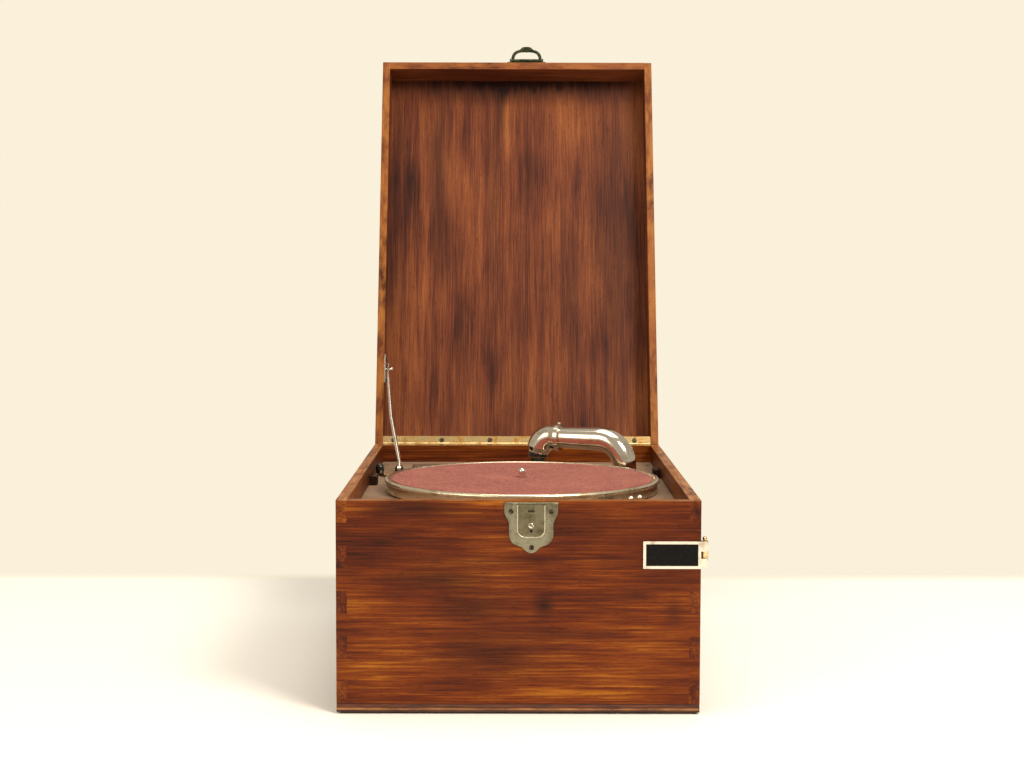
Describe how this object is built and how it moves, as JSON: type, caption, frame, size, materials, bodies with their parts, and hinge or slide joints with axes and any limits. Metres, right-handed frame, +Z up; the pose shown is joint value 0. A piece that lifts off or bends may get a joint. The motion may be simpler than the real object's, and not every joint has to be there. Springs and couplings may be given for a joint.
{
  "type": "portable gramophone",
  "caption": "Wind-up portable record player in a mahogany case with an open hinged lid, felt turntable, nickel tone arm and gooseneck, spring motor, horn, brake and needle tray.",
  "frame": {"origin": "middle of the case's underside, on the surface that the case stands on", "axes": "+Z up, +X to the right seen from the front, -Y the front with the lock, lid open to the back"},
  "size_m": [0.3064, 0.6168, 0.6108],
  "materials": {
    "mahogany": "satin",
    "lid_mahogany": "satin",
    "lid_panel_wood": "satin",
    "plywood": "matte",
    "softwood": "matte",
    "board_veneer": "satin",
    "pad_felt": "matte",
    "screw_steel": "satin",
    "hinge_brass": "satin",
    "lock_nickel": "satin",
    "blackened_steel": "satin",
    "nickel": "polished",
    "platter_nickel": "polished",
    "red_felt": "matte",
    "black_ebonite": "gloss",
    "horn_paint": "matte",
    "motor_steel": "satin",
    "cast_grey": "matte",
    "gear_brass": "satin",
    "tray_brass": "satin",
    "black_panel": "gloss",
    "tin": "satin",
    "soundbox_grey": "satin",
    "gasket_rubber": "matte",
    "mica": "gloss",
    "pad_leather": "matte"
  },
  "bodies": {
    "case": {"case_front_panel": "mahogany", "case_rear_panel": "mahogany", "case_left_panel": "mahogany", "case_right_panel": "mahogany", "case_bottom_board": "plywood", "foot_pads": "pad_felt", "board_battens": "softwood", "motor_board": "board_veneer", "case_screws": "screw_steel", "hinge_leaf_case": "hinge_brass", "hinge_pin": "screw_steel", "lock_plate": "lock_nickel", "lock_case": "lock_nickel", "stay_foot": "blackened_steel", "tonearm_flange": "nickel", "rest_post": "black_ebonite", "horn_body": "horn_paint", "speed_base": "black_ebonite", "crank_clips": "blackened_steel", "tray_hinge": "tray_brass", "motor_top_plate": "motor_steel", "motor_bottom_plate": "motor_steel", "motor_bolts": "screw_steel", "winding_case": "cast_grey", "winding_escutcheon": "tray_brass"},
    "lid": {"lid_front_wall": "lid_mahogany", "lid_rear_wall": "lid_mahogany", "lid_left_wall": "lid_mahogany", "lid_right_wall": "lid_mahogany", "lid_panel": "lid_panel_wood", "hinge_leaf_lid": "hinge_brass", "lid_screws": "screw_steel", "stay_bracket": "nickel", "hasp_base": "lock_nickel"},
    "hasp": {"hasp": "lock_nickel"},
    "stay": {"stay_rod": "nickel"},
    "turntable": {"turntable_platter": "platter_nickel", "turntable_felt": "red_felt", "spindle": "nickel", "spindle_gears": "gear_brass"},
    "barrel": {"spring_barrel": "motor_steel"},
    "intermediate": {"intermediate_gear": "gear_brass"},
    "governor": {"governor": "gear_brass"},
    "winding": {"winding_shaft": "motor_steel"},
    "tonearm": {"tonearm_tube": "nickel"},
    "gooseneck": {"gooseneck_elbow": "nickel", "gooseneck_bush": "black_ebonite"},
    "soundbox": {"soundbox_body": "soundbox_grey", "soundbox_bezel": "nickel", "soundbox_gaskets": "gasket_rubber", "soundbox_diaphragm": "mica", "needle_bar": "nickel", "needle": "screw_steel"},
    "brake": {"brake_lever": "nickel", "brake_knob": "black_ebonite", "brake_pad": "pad_leather"},
    "speed": {"speed_lever": "nickel"},
    "tray": {"tray_front": "nickel", "tray_panel": "black_panel", "tray_box": "tin"}
  },
  "joints": [
    {"name": "lid_hinge", "type": "hinge", "parent": "case", "child": "lid", "pos_m": [0, 0.2185, 0.1782], "axis": [1, 0, 0], "range_deg": [0, 108.6]},
    {"name": "hasp_hinge", "type": "hinge", "parent": "lid", "child": "hasp", "pos_m": [0.0104, 0.36415, 0.5947], "axis": [1, 0, 0], "range_deg": [-85, 90]},
    {"name": "stay_hinge", "type": "hinge", "parent": "case", "child": "stay", "pos_m": [-0.118, 0.1125, 0.164], "axis": [1, 0, 0], "range_deg": [0, 137.1]},
    {"name": "turntable_spin", "type": "hinge", "parent": "case", "child": "turntable", "pos_m": [0.004, -0.0215, 0.165], "axis": [0, 0, 1], "continuous": true},
    {"name": "barrel_spin", "type": "hinge", "parent": "case", "child": "barrel", "pos_m": [-0.062, -0.03, 0.115], "axis": [0, 0, 1], "continuous": true},
    {"name": "intermediate_spin", "type": "hinge", "parent": "case", "child": "intermediate", "pos_m": [-0.0281, -0.0052, 0.12], "axis": [0, 0, 1], "continuous": true},
    {"name": "governor_spin", "type": "hinge", "parent": "case", "child": "governor", "pos_m": [0.03877, -0.03082, 0.12], "axis": [0, 0, 1], "continuous": true},
    {"name": "winding_spin", "type": "hinge", "parent": "case", "child": "winding", "pos_m": [0.06, -0.03, 0.083], "axis": [1, 0, 0], "continuous": true},
    {"name": "tonearm_swing", "type": "hinge", "parent": "case", "child": "tonearm", "pos_m": [0.106, 0.0935, 0.17], "axis": [0, 0, 1], "range_deg": [0, 60]},
    {"name": "gooseneck_swivel", "type": "hinge", "parent": "tonearm", "child": "gooseneck", "pos_m": [0.0392, 0.12036, 0.1959], "axis": [-0.9278, 0.373, 0], "range_deg": [-180, 0]},
    {"name": "soundbox_lift", "type": "slide", "parent": "case", "child": "soundbox", "axis": [0, 0, 1], "range_m": [0, 0.03]},
    {"name": "brake_turn", "type": "hinge", "parent": "case", "child": "brake", "pos_m": [-0.123, 0.0705, 0.162], "axis": [0, 0, 1], "range_deg": [-12, 0]},
    {"name": "speed_turn", "type": "hinge", "parent": "case", "child": "speed", "pos_m": [0.098, -0.1305, 0.166], "axis": [0, 0, 1], "range_deg": [-25, 25]},
    {"name": "tray_swing", "type": "hinge", "parent": "case", "child": "tray", "pos_m": [0.1534, -0.2145, 0.133], "axis": [0, 0, 1], "range_deg": [0, 55]}
  ],
  "couplings": [
    {"joint": "stay_hinge", "follows": "lid_hinge", "ratio": 1.262},
    {"joint": "barrel_spin", "follows": "turntable_spin", "ratio": 0.033333},
    {"joint": "intermediate_spin", "follows": "turntable_spin", "ratio": -0.2},
    {"joint": "governor_spin", "follows": "turntable_spin", "ratio": -5}
  ]
}
